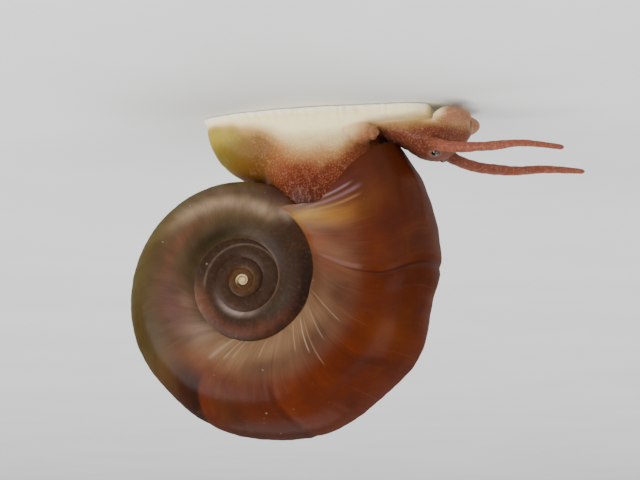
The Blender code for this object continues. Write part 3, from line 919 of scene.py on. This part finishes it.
SKIN_TONE = "7a4026"
HEAD_TONE = ("6e3a2a", 1.00)
HEAD_X = (-0.0068, -0.0088)
SKIN_ZONES = (
    # x, z, half widths of both (metres), colour, strength
    (-0.0018, 0.0022, 0.0011, 0.0020, "b67a4c", 0.80),
    (0.0000, 0.0028, 0.0018, 0.0022, "7c4e1c", 0.85),
    (0.0024, 0.0026, 0.0030, 0.0034, "6a5c1c", 0.95),
    (0.0022, 0.0012, 0.0020, 0.0007, "c8b44c", 0.50),
    (0.0000, 0.0042, 0.0018, 0.0017, "603c18", 0.88),
    (-0.0023, 0.0038, 0.0010, 0.0010, "8a5030", 0.60),
    (-0.0028, 0.0047, 0.0018, 0.0010, "6a2812", 0.70),
    (-0.0048, 0.0046, 0.0022, 0.0009, "6c2614", 0.45),
    (-0.0044, 0.0054, 0.0030, 0.0015, "561c0c", 0.90),
    # painted shadow on the flesh beside the shell's lip
    (-0.0030, 0.0062, 0.0018, 0.0011, "380e0a", 0.92),
)
MARGIN_TONES = (
    # colour, strength, ramp down through the margin, in its heights
    ("e2b878", 0.75, 1.35, 0.60),
    ("fff0be", 0.95, 1.00, 0.40),
)
SOLE_RIM = ("f4f4ea", 0.70)
SOLE_RIM_Z = (0.00045, 0.00005)
GILL_TINT = ("b4805e", 0.45)
LIPS_TINT = ("96604a", 0.90)
LIPS_X = (-0.0117, -0.0125)
LIPS_Z = (0.0016, 0.0010)
MOUTH_TINT = ("5a241a", 0.85)
EYE_RIM_TINT = ("a0705c", 0.45)
TENTACLE_TINT = ("8c5040", 0.80)
TENTACLE_X = (-0.0112, -0.0120)
TENTACLE_Y = (0.0020, 0.0025)
TENTACLE_AHEAD_X = (-0.0136, -0.0140)
TENTACLE_LOWEST = 0.0022
GRAIN_TINT = ("d09c6c", 0.20)
FURROW_SHADE = 0.26


def margin_height(x):
    """How high the pale margin reaches: low at the tail, high below the shell, low in front."""
    return MARGIN_HEIGHT + sum(height * ramps(x, ends) for height, ends in MARGIN_RISES)


def away_from(points, centre, radii):
    """How far the points are from the middle of an ellipsoid, in its radii."""
    return np.linalg.norm((points - np.array(centre)) / np.array(radii), axis=1)


def mouth_of(points):
    """1 in the slit of the mouth, fading out round it."""
    return ramp(away_from(points, MOUTH_CENTRE, MOUTH_RADII), *MOUTH_FADE)


def gill_lobe(points):
    """1 on the lobe at the left side of the neck."""
    return ramp(away_from(points, GILL_LOBE_CENTRE, GILL_LOBE_RADII), *GILL_LOBE_FADE)


def eye_rim(points):
    """1 on a ring of skin round each eye."""
    total = np.zeros(len(points))
    for centre in (EYE_CENTRE, mirrored(EYE_CENTRE)):
        away = np.linalg.norm(points - np.array(centre), axis=1)
        total += bell(away, EYE_RIM, EYE_RIM_WIDTH)
    return total


def tentacles(points):
    """1 on the tentacles, beside the head and ahead of it."""
    x, y, z = points.T
    beside = ramp(np.abs(y), *TENTACLE_Y) * ramp(x, *TENTACLE_X) * (z > TENTACLE_LOWEST)
    return np.maximum(beside, ramp(x, *TENTACLE_AHEAD_X))


def granular(points):
    """How thickly the skin is strewn with grains: none on the pale margin, few on the tail."""
    x, z = points[:, 0], points[:, 2]
    lowest = GRAIN_MARGIN_SHARE * margin_height(x) * ramp(x, *GRAIN_MARGIN_X)
    return ramp(z - lowest, *GRAIN_FADE) * (1.0 - GRAIN_TAIL_LOSS * ramp(x, *GRAIN_TAIL_X))


def skin_colours(points, grain):
    x, _, z = points.T
    tone = np.broadcast_to(linear(SKIN_TONE), points.shape)
    tone = over(tone, HEAD_TONE, ramp(x, *HEAD_X))
    for place, height, x_width, z_width, colour, strength in SKIN_ZONES:
        tone = over(tone, (colour, strength), bell(x, place, x_width) * bell(z, height, z_width))
    margin = margin_height(x) * (1.0 + MARGIN_UNEVEN * lumps(points, MARGIN_LUMP, MARGIN_SEED))
    for colour, strength, start, whole in MARGIN_TONES:
        tone = over(tone, (colour, strength), ramp(z / margin, start, whole))
    for layer, mask in (
        (SOLE_RIM, ramp(z, *SOLE_RIM_Z)),
        (GILL_TINT, gill_lobe(points)),
        (LIPS_TINT, ramp(x, *LIPS_X) * ramp(z, *LIPS_Z)),
        (MOUTH_TINT, mouth_of(points)),
        (EYE_RIM_TINT, eye_rim(points)),
        (TENTACLE_TINT, tentacles(points)),
    ):
        tone = over(tone, layer, mask)
    furrow = granular(points) * (1.0 - grain) ** 2
    tone = tone * (1.0 - FURROW_SHADE * furrow)[:, None]
    return over(tone, GRAIN_TINT, grain)


def skin_relief(points, grain):
    """How far the skin stands out: lumps, folds, grains and the rims of the eyes, less the mouth."""
    x, _, z = points.T
    lobe = gill_lobe(points)
    total = GRAIN_HEIGHT * grain + EYE_RIM_HEIGHT * eye_rim(points) - MOUTH_DEPTH * mouth_of(points)
    for seed, (size, height) in enumerate(LUMPS):
        total += height * (1.0 - GILL_CALM * lobe) * lumps(points, size, SEED + seed)
    bend = FOLD_BEND * lumps(points, FOLD_LUMP, FOLD_SEED)
    neck = bell(x, NECK_FOLD_PLACE, NECK_FOLD_REACH) * ramp(z, *NECK_FOLD_Z)
    margin = ramp(z, *MARGIN_FOLD_Z) * ramp(x, *MARGIN_FOLD_X)
    for (pitch, depth), mask in ((NECK_FOLD, neck), (MARGIN_FOLD, margin), (GILL_FOLD, lobe)):
        total += depth * mask * np.sin(2 * math.pi * x / pitch + bend)
    return total * ramp(z, *SOLE_KEPT_Z)


def flare(points, normals):
    """How the thin edge of the foot spreads over the floor, in slow waves."""
    level = np.array((1.0, 1.0, 0.0))
    low = ramp(points[:, 2], *FLARE_Z) * ramp(points[:, 0], *FLARE_X)
    waved = 1.0 + FLARE_WAVE * lumps(points * level, FLARE_WAVE_SIZE, FLARE_SEED)
    return normals * level * (FLARE_REACH * low * waved)[:, None]


def joined_body():
    """The flesh as one closed skin, in metres."""
    raw = new_object("skin_raw", raw_body())
    modifier = raw.modifiers.new("remesh", "REMESH")
    modifier.mode = "VOXEL"
    modifier.voxel_size = SKIN_VOXEL
    modifier.adaptivity = 0.0
    graph = bpy.context.evaluated_depsgraph_get()
    mesh = bpy.data.meshes.new_from_object(raw.evaluated_get(graph))
    bpy.data.objects.remove(raw, do_unlink=True)
    mesh.transform(Matrix.Scale(1.0 / MILLIMETRES, 4))
    keep_largest(mesh)
    return mesh


def make_skin():
    mesh = joined_body()
    relax(mesh, SKIN_SMOOTHINGS)
    relax(mesh, TRUNK_SMOOTHINGS, on_trunk(points_of(mesh)))
    points = points_of(mesh)
    normals = np.empty(points.size)
    mesh.vertex_normals.foreach_get("vector", normals)
    normals = normals.reshape(-1, 3)
    grain = granular(points) * grains(points, GRAIN_SIZE, GRAIN_SEED)
    give_colours(mesh, "tone", skin_colours(points, grain))
    give_values(mesh, "grain", grain)
    points += flare(points, normals) + normals * skin_relief(points, grain)[:, None]
    mesh.vertices.foreach_set("co", points.ravel())
    mesh.update()
    skin = smooth_object("skin", mesh, skin_material())
    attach(skin, "root")
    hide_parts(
        "mantle", "stalk", "tail", "foot", "neck", "head", "snout",
        "tentacle_left_base", "tentacle_left_tip", "tentacle_right_base", "tentacle_right_tip",
    )


def make_eyes():
    for word, centre in (("left", EYE_CENTRE), ("right", mirrored(EYE_CENTRE))):
        name = "eye_fine_" + word
        bm = bmesh.new()
        add_ellipsoid(bm, centre - Vector((0.0, 0.0, EYE_SINK)), [EYE_RADIUS] * 3)
        mesh = bpy.data.meshes.new(name)
        bm.to_mesh(mesh)
        bm.free()
        eye = smooth_object(name, mesh, eye_material())
        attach(eye, "root")
        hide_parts("eye_" + word)


# Materials

# Sockets of a colour mix, whose names the node's other kinds of mix share
MIX_FIRST = 6
MIX_SECOND = 7
MIX_RESULT = 2


class Nodes:
    """A material's node tree with short ways to add and link nodes."""

    def __init__(self, name):
        self.material = bpy.data.materials.new(name)
        self.material.use_nodes = True
        self.tree = self.material.node_tree
        self.shader = self.tree.nodes["Principled BSDF"]

    def feed(self, socket, value):
        if isinstance(value, bpy.types.NodeSocket):
            self.tree.links.new(value, socket)
        else:
            socket.default_value = value

    def add(self, kind, inputs, result, **settings):
        """One output of a new node, whose inputs are values or other nodes' outputs."""
        node = self.tree.nodes.new(kind)
        for key, value in settings.items():
            setattr(node, key, value)
        for key, value in inputs.items():
            self.feed(node.inputs[key], value)
        return node.outputs[result]

    def value(self, name):
        return self.add("ShaderNodeAttribute", {}, "Fac", attribute_name=name)

    def colour(self, name):
        return self.add("ShaderNodeAttribute", {}, "Color", attribute_name=name)

    def place(self):
        return self.add("ShaderNodeTexCoord", {}, "Object")

    def math(self, operation, *values):
        return self.add("ShaderNodeMath", dict(enumerate(values)), 0, operation=operation)

    def product(self, *values):
        return self.math("MULTIPLY", *values)

    def distance(self, first, second):
        return self.math("ABSOLUTE", self.math("SUBTRACT", first, second))

    def vector(self, *values):
        return self.add("ShaderNodeCombineXYZ", dict(enumerate(values)), 0)

    def noises(self, table, **wheres):
        """The noises of a table by name, over the object's own places unless another is given."""
        place = self.place()
        names = ("Scale", "Detail", "Roughness", "Distortion")
        made = {}
        for name, numbers in table.items():
            inputs = dict(zip(names, numbers), Vector=wheres.get(name, place))
            made[name] = self.add("ShaderNodeTexNoise", inputs, "Fac")
        return made

    def cells(self, where, scale):
        return self.add("ShaderNodeTexVoronoi", {"Vector": where, "Scale": scale}, "Distance")

    def ease(self, value, low, high, to_low=0.0, to_high=1.0):
        names = ("Value", "From Min", "From Max", "To Min", "To Max")
        inputs = dict(zip(names, (value, low, high, to_low, to_high)))
        return self.add("ShaderNodeMapRange", inputs, "Result", interpolation_type="SMOOTHSTEP")

    def mix(self, factor, first, second, blend="MIX"):
        inputs = {"Factor": factor, MIX_FIRST: first, MIX_SECOND: second}
        return self.add("ShaderNodeMix", inputs, MIX_RESULT, data_type="RGBA", blend_type=blend)

    def tinted(self, colour, fields, tints):
        """The colour with each tint laid over it where its field is high, within its mask."""
        for field, mask, low, high, tint, strength in tints:
            factor = self.ease(fields[field], low, high, 0.0, strength)
            if mask:
                factor = self.product(factor, fields[mask])
            colour = self.mix(factor, colour, solid(tint))
        return colour

    def bump(self, height, **inputs):
        return self.add("ShaderNodeBump", {"Height": height, **inputs}, "Normal")

    def finish(self, **inputs):
        for name, value in inputs.items():
            self.feed(self.shader.inputs[name.replace("_", " ")], value)
        return self.material


def solid(hexadecimal):
    return (*linear(hexadecimal), 1.0)


# Fields of the materials: scale, detail, roughness and any distortion of each noise
SHELL_NOISES = {
    "fine": (2.6, 4.0, 0.60),
    "broad": (2.0, 3.0, 0.55),
    "blotch": (420.0, 4.0, 0.55, 0.6),
    "grit": (4600.0, 3.0, 0.70),
    "thin": (700.0, 1.0, 0.55),
    "grain": (9000.0, 2.0, 0.55),
}
SKIN_NOISES = {
    "blotch": (900.0, 3.0, 0.60),
    "vein": (2400.0, 3.0, 0.60, 0.6),
    "wrinkle": (5200.0, 3.0, 0.55),
}
EYE_NOISES = {"cloud": (2500.0, 2.0, 0.55)}
FLOOR_NOISES = {"cloud": (60.0, 2.0, 0.55)}

# Tints of the materials: field, mask, where the field begins to tint and is whole, colour, strength
SHELL_TINTS = (
    ("broad", None, 0.35, 0.70, "3a1a10", 0.30),
    ("blotch", None, 0.50, 0.75, "84481f", 0.24),
    ("blotch", None, 0.50, 0.25, "2e1812", 0.24),
    ("grit", "worn", 0.50, 0.72, "8c7e74", 0.09),
    ("grit", "worn", 0.50, 0.28, "1c130e", 0.16),
    ("fine", "young", 0.55, 0.80, "b8987c", 0.11),
    ("fine", "young", 0.48, 0.22, "28120a", 0.22),
)
SHELL_FLECKS = (("thin", "speck", 0.62, 0.70, "cfc0a8", 0.40),)
SKIN_TINTS = (
    ("blotch", None, 0.50, 0.78, "6a2c1c", 0.16),
    ("vein", None, 0.55, 0.75, "e0b494", 0.10),
)
EYE_TINTS = (("cloud", None, 0.4, 0.7, "241614", 1.0),)
FLOOR_TINTS = (("cloud", None, 0.3, 0.7, "e8e9e6", 1.0),)
EYE_TONE = "120c0c"
FLOOR_TONE = "e2e4e0"

# How the streaks and clouds of the shell run along growth and across
STREAK_RATE = 0.30
STREAK_RUN = 0.5
CLOUD_RATE = 0.05
CLOUD_SLICE = 3.0

# Where the shell is young and worn, and how rough it is: a field's ends, then the values there
YOUNG_ALONG = (-40.0, 90.0, 0.45, 1.0)
YOUNG_OUTWARD = (0.35, 0.75, 1.0, 0.5)
WORN_ALONG = (-60.0, -160.0, 0.0, 1.0)
SPECK_SCALE = 1500.0
SPECK_REACH = (0.13, 0.06, 0.0, 1.0)
HORN_ROUGHNESS = (0.2, 0.8, 0.40, 0.56)
SKIN_ROUGHNESS = (0.0, 1.0, 0.38, 0.55)

SHELL_SHADE = (0.56, 0.53, 0.48, 1.0)
LINE_FADE = 0.6
SHELL_LINES = (
    # growth angle, half width, across from and to, colour, strength
    (180.0, 0.8, 0.25, 1.5, "241008", 0.48),
    (180.0, 0.8, 0.00, 0.50, "4a2418", 0.40),
    # mauve just past the growth arrest: a painted highlight on the edge of the step
    (181.8, 1.6, 0.05, 0.50, "94686a", 0.45),
    (106.4, 0.6, -0.1, 1.4, "3c1608", 0.35),
    (143.2, 0.5, -0.1, 1.4, "34140a", 0.30),
    (212.4, 1.0, 0.10, 0.62, "c49a78", 0.34),
    (215.4, 1.3, 0.10, 0.66, "ac8898", 0.42),
    (218.2, 0.9, 0.06, 0.60, "c0a4b8", 0.42),
    (219.8, 0.8, 0.00, 0.70, "6a2a34", 0.70),
    # this line and the next four: pale growth ribs near the suture, lightened by painted glints
    (122.8, 0.7, 0.02, 0.30, "ccb8a0", 0.26),
    (130.6, 0.7, 0.02, 0.40, "d4c2aa", 0.46),
    (133.8, 0.6, 0.02, 0.60, "bc9c80", 0.35),
    (141.0, 0.8, 0.02, 0.40, "c4b09a", 0.26),
    (153.4, 0.7, 0.02, 0.42, "c0a694", 0.30),
    # this line and the next three: pale streaks near the suture, partly growth streaks and partly
    # painted light where the slope meets the light
    (64.0, 3.0, -0.05, 0.36, "c0a89e", 0.34),
    (72.0, 1.4, -0.05, 0.28, "d0bcb2", 0.32),
    (77.0, 1.0, 0.00, 0.24, "d0bcb2", 0.22),
    (96.0, 1.0, 0.00, 0.22, "c8b49c", 0.30),
)


def shell_fields(nodes, growth, across):
    """The noises and masks of the shell by name."""
    streaks = nodes.vector(nodes.product(growth, STREAK_RATE), nodes.product(across, STREAK_RUN), 0.0)
    clouds = nodes.vector(nodes.product(growth, CLOUD_RATE), across, CLOUD_SLICE)
    fields = nodes.noises(SHELL_NOISES, fine=streaks, broad=clouds)
    fields["young"] = nodes.product(nodes.ease(growth, *YOUNG_ALONG), nodes.ease(across, *YOUNG_OUTWARD))
    fields["worn"] = nodes.ease(growth, *WORN_ALONG)
    fields["speck"] = nodes.ease(nodes.cells(nodes.place(), SPECK_SCALE), *SPECK_REACH)
    return fields


def shell_material():
    """Thin horn: growth streaks over the broad tones, single lines (some of them painted highlights and
    glints), mottling from within and gloss.
    """
    nodes = Nodes("shell_horn")
    growth, across = nodes.value("growth"), nodes.value("across")
    fields = shell_fields(nodes, growth, across)
    colour = nodes.tinted(nodes.colour("tone"), fields, SHELL_TINTS)
    for angle, half, start, stop, tint, strength in SHELL_LINES:
        near = nodes.ease(nodes.distance(growth, angle), half, 0.0, 0.0, strength)
        middle, reach = (start + stop) / 2, (stop - start) / 2
        window = nodes.ease(nodes.distance(across, middle), reach, reach * LINE_FADE)
        colour = nodes.mix(nodes.product(near, window), colour, solid(tint))
    colour = nodes.tinted(colour, fields, SHELL_FLECKS)
    colour = nodes.mix(1.0, colour, SHELL_SHADE, "MULTIPLY")
    normal = nodes.bump(fields["fine"], Distance=0.00005, Strength=0.55)
    normal = nodes.bump(fields["grain"], Distance=0.000006, Strength=0.5, Normal=normal)
    return nodes.finish(
        Base_Color=colour,
        Roughness=nodes.ease(fields["fine"], *HORN_ROUGHNESS),
        Specular_IOR_Level=0.0,
        Subsurface_Weight=0.10,
        Subsurface_Radius=(0.0008, 0.0004, 0.0002),
        Coat_Weight=0.14,
        Coat_Roughness=0.26,
        Normal=normal,
    )


def skin_material():
    """Moist flesh: mottled from within, finely wrinkled, glossier between its grains."""
    nodes = Nodes("snail_skin")
    fields = nodes.noises(SKIN_NOISES)
    return nodes.finish(
        Base_Color=nodes.tinted(nodes.colour("tone"), fields, SKIN_TINTS),
        Roughness=nodes.ease(nodes.value("grain"), *SKIN_ROUGHNESS),
        Specular_IOR_Level=0.03,
        Subsurface_Weight=0.30,
        Subsurface_Radius=(0.0010, 0.0005, 0.0003),
        Coat_Weight=0.08,
        Coat_Roughness=0.20,
        Normal=nodes.bump(fields["wrinkle"], Distance=0.00002, Strength=0.45),
    )


def eye_material():
    nodes = Nodes("eye_dark")
    colour = nodes.tinted(solid(EYE_TONE), nodes.noises(EYE_NOISES), EYE_TINTS)
    return nodes.finish(Base_Color=colour, Roughness=0.12, Coat_Weight=0.6, Coat_Roughness=0.05)


def floor_material():
    nodes = Nodes("floor_pale")
    colour = nodes.tinted(solid(FLOOR_TONE), nodes.noises(FLOOR_NOISES), FLOOR_TINTS)
    return nodes.finish(Base_Color=colour, Roughness=0.75)


# Surroundings


def make_floor():
    half = FLOOR_SIZE / 2
    corners = half * np.array([(-1.0, -1.0, 0.0), (1.0, -1.0, 0.0), (1.0, 1.0, 0.0), (-1.0, 1.0, 0.0)])
    mesh = new_mesh("floor", corners, [(0, 1, 2, 3)])
    mesh.materials.append(floor_material())
    new_object("floor", mesh)


def make_world():
    """Even light from all round, stronger from above."""
    world = bpy.data.worlds.new("soft_world")
    world.use_nodes = True
    nodes, links = world.node_tree.nodes, world.node_tree.links
    background = nodes["Background"]
    background.inputs["Color"].default_value = WORLD_COLOUR
    upward = nodes.new("ShaderNodeSeparateXYZ")
    strength = nodes.new("ShaderNodeMapRange")
    strength.inputs["To Min"].default_value = WORLD_LOW
    strength.inputs["To Max"].default_value = WORLD_HIGH
    links.new(nodes.new("ShaderNodeTexCoord").outputs["Generated"], upward.inputs[0])
    links.new(upward.outputs["Z"], strength.inputs["Value"])
    links.new(strength.outputs["Result"], background.inputs["Strength"])
    bpy.context.scene.world = world


def make_lights():
    for name, place, size, power, colour in LIGHTS:
        light = bpy.data.lights.new(name, "AREA")
        light.size = size
        light.energy = power
        light.color = colour
        made = new_object(name, light)
        made.location = place
        made.rotation_mode = "QUATERNION"
        made.rotation_quaternion = (AIM_POINT - Vector(place)).to_track_quat("-Z", "Y")


def make_camera():
    """Sets the shell's apex on its pixel, the picture turned by half a turn so that the snail hangs."""
    back = Vector((
        math.sin(VIEW_AZIMUTH) * math.cos(VIEW_ELEVATION),
        -math.cos(VIEW_AZIMUTH) * math.cos(VIEW_ELEVATION),
        math.sin(VIEW_ELEVATION),
    ))
    right = Vector((math.cos(VIEW_AZIMUTH), math.sin(VIEW_AZIMUTH), 0.0))
    up = back.cross(right)
    pixel = VIEW_WIDTH / PICTURE_SIZE[0]
    aside, above = ((size / 2 - apex) * pixel for size, apex in zip(PICTURE_SIZE, APEX_PIXEL))
    aim = AIM_POINT - right * aside + up * above
    place = AIM_POINT + back * VIEW_DISTANCE
    look = (aim - place).normalized()
    side = look.cross(-up).normalized()
    turned = Matrix((side, side.cross(look), -look)).transposed().to_4x4()
    camera = bpy.data.cameras.new("camera")
    camera.sensor_width = SENSOR_WIDTH
    camera.lens = SENSOR_WIDTH * VIEW_DISTANCE / VIEW_WIDTH
    camera.clip_start, camera.clip_end = CAMERA_REACH
    made = new_object("camera", camera)
    made.matrix_world = Matrix.Translation(place) @ turned
    bpy.context.scene.camera = made


make_camera()
make_world()
make_lights()
make_floor()
make_shell()
make_skin()
make_eyes()
